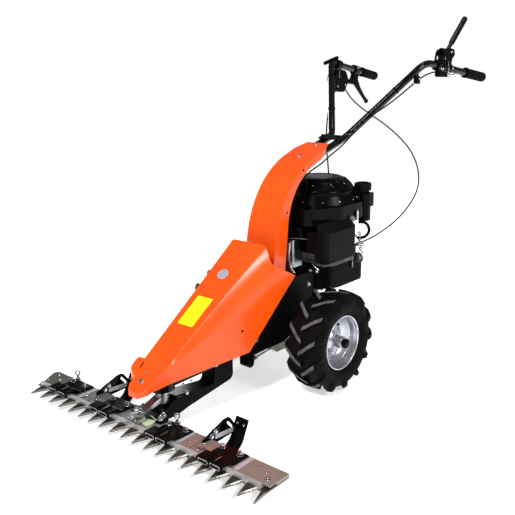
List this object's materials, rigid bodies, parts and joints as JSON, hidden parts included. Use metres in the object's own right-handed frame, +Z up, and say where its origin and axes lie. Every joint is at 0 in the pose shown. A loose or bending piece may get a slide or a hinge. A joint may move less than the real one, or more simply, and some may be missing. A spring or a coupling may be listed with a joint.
{
  "type": "walk-behind sickle bar mower",
  "caption": "Two-wheeled walk-behind mower with a wide reciprocating cutter bar on skids, a sloping belt hood, an upright-shaft engine and V handlebars.",
  "frame": {"origin": "on the floor, midway between the wheels and straight below the axle", "axes": "+X to the machine's left, +Y back towards the handles, +Z up"},
  "size_m": [0.9522, 1.6141, 1.144],
  "materials": {
    "orange_paint": "gloss powder coat",
    "black_paint": "semi-gloss powder coat",
    "black_plastic": "moulded, slightly glossy",
    "engine_cast": "painted casting",
    "gear_cast": "bare casting",
    "muffler_steel": "pressed sheet",
    "zinc_steel": "zinc plated",
    "blade_steel": "ground and hardened",
    "chrome_steel": "polished",
    "axle_steel": "turned",
    "rim_paint": "silver paint",
    "tyre_rubber": "matt with moulded lugs",
    "grip_rubber": "ribbed"
  },
  "bodies": {
    "main": {"air_filter": "black_plastic", "bar_beam": "zinc_steel", "bar_plates": "zinc_steel", "boom": "black_paint", "boom_foot": "black_paint", "brake_lever": "black_plastic", "cable_clip": "black_paint", "carburettor": "engine_cast", "chassis": "black_paint", "clutch_bracket": "black_paint", "clutch_cable": "grip_rubber", "clutch_lever": "black_plastic", "column": "orange_paint", "comb_fingers": "blade_steel", "comb_strip": "blade_steel", "crank_housing": "black_paint", "crankcase": "engine_cast", "engage_lug": "black_paint", "engage_rod": "zinc_steel", "engine_shroud": "black_plastic", "fuel_cap": "black_plastic", "fuel_tank": "black_plastic", "gearbox": "gear_cast", "grip_left": "grip_rubber", "grip_right": "grip_rubber", "handle_bridge": "black_paint", "handle_saddle": "black_paint", "handle_tube_left": "black_paint", "handle_tube_right": "black_paint", "hood": "orange_paint", "knife_holders": "black_paint", "muffler": "muffler_steel", "oil_filler": "black_plastic", "recoil_cover": "black_plastic", "skid_arm_left": "zinc_steel", "skid_arm_right": "zinc_steel", "skid_plate_left": "black_paint", "skid_plate_right": "black_paint", "skid_shoe_left": "black_paint", "skid_shoe_right": "black_paint", "speed_lever": "black_plastic", "stop_cable": "grip_rubber", "throttle_cable": "grip_rubber", "throttle_housing": "black_plastic"},
    "wheel_left": {"tyre_left": "tyre_rubber", "rim_left": "rim_paint", "axle_left": "axle_steel"},
    "wheel_right": {"tyre_right": "tyre_rubber", "rim_right": "rim_paint", "axle_right": "axle_steel"},
    "drive_arm": {"drive_arm": "zinc_steel", "crank_shaft": "chrome_steel"},
    "knife": {"knife_rail": "blade_steel", "knife_sections": "blade_steel", "knife_head": "zinc_steel"}
  },
  "joints": [
    {"name": "wheel_left_spin", "type": "hinge", "parent": "main", "child": "wheel_left", "pos_m": [0.213, 0, 0.16], "axis": [1, 0, 0], "continuous": true},
    {"name": "wheel_right_spin", "type": "hinge", "parent": "main", "child": "wheel_right", "pos_m": [-0.213, 0, 0.16], "axis": [1, 0, 0], "continuous": true},
    {"name": "drive_arm_swing", "type": "hinge", "parent": "main", "child": "drive_arm", "pos_m": [0, -0.512, 0.09], "axis": [0, 0, 1], "range_deg": [-15, 15]},
    {"name": "knife_slide", "type": "slide", "parent": "main", "child": "knife", "axis": [1, 0, 0], "range_m": [-0.0236, 0.0236]}
  ],
  "couplings": [
    {"joint": "knife_slide", "follows": "drive_arm_swing", "m_per_rad": 0.09}
  ]
}
